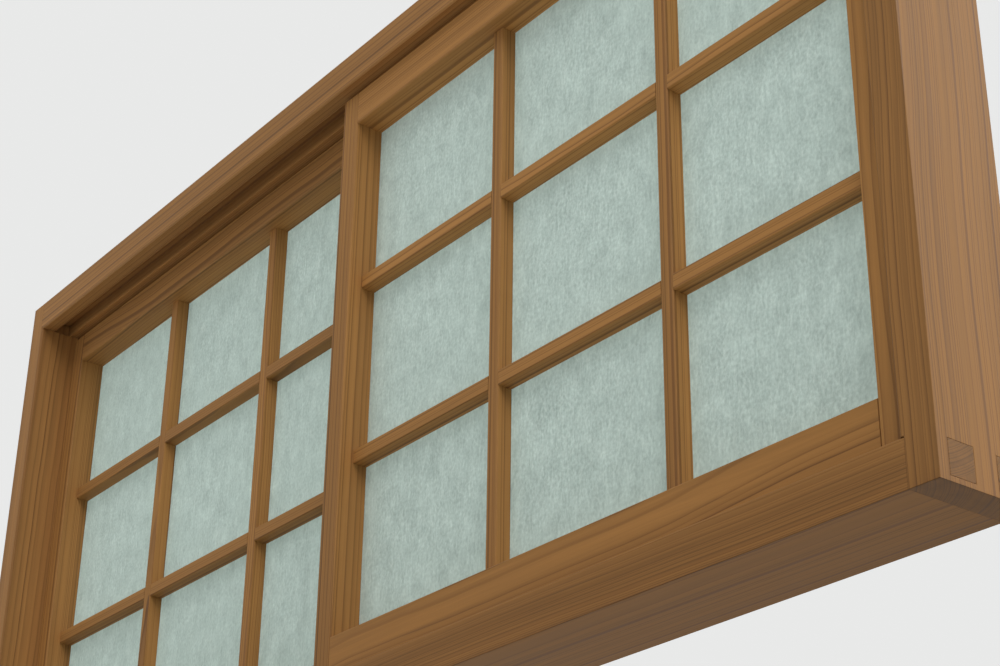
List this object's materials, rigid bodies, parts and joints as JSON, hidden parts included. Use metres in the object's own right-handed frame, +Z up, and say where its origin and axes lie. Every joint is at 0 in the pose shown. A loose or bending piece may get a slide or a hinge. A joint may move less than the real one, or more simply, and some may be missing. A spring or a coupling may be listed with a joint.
{
  "type": "sliding shoji window",
  "caption": "Sliding shoji window in its frame: latticed wooden leaves backed with translucent paper run past each other in grooves of head and sill.",
  "frame": {"origin": "middle of the sill's underside, where the frame stands", "axes": "+X along the window to the right as seen from the room, +Y from the room to the outside, +Z up"},
  "size_m": [1.442, 0.09, 0.692],
  "materials": {
    "frame_wood": "satin",
    "leaf_wood": "satin",
    "paper": "matte"
  },
  "bodies": {
    "frame": {"head": "frame_wood", "jamb_left": "frame_wood", "jamb_right": "frame_wood", "sill": "frame_wood"},
    "front_leaf": {"front_muntin_horizontal_1": "leaf_wood", "front_muntin_horizontal_2": "leaf_wood", "front_muntin_vertical_1": "leaf_wood", "front_muntin_vertical_2": "leaf_wood", "front_paper": "paper", "front_rail_bottom": "leaf_wood", "front_rail_top": "leaf_wood", "front_stile_left": "leaf_wood", "front_stile_right": "leaf_wood"},
    "back_leaf": {"back_muntin_horizontal_1": "leaf_wood", "back_muntin_horizontal_2": "leaf_wood", "back_muntin_vertical_1": "leaf_wood", "back_muntin_vertical_2": "leaf_wood", "back_paper": "paper", "back_rail_bottom": "leaf_wood", "back_rail_top": "leaf_wood", "back_stile_left": "leaf_wood", "back_stile_right": "leaf_wood"}
  },
  "joints": [
    {"name": "front_leaf_slide", "type": "slide", "parent": "frame", "child": "front_leaf", "axis": [-1, 0, 0], "range_m": [0, 0.678]},
    {"name": "back_leaf_slide", "type": "slide", "parent": "frame", "child": "back_leaf", "axis": [1, 0, 0], "range_m": [0, 0.678]}
  ]
}
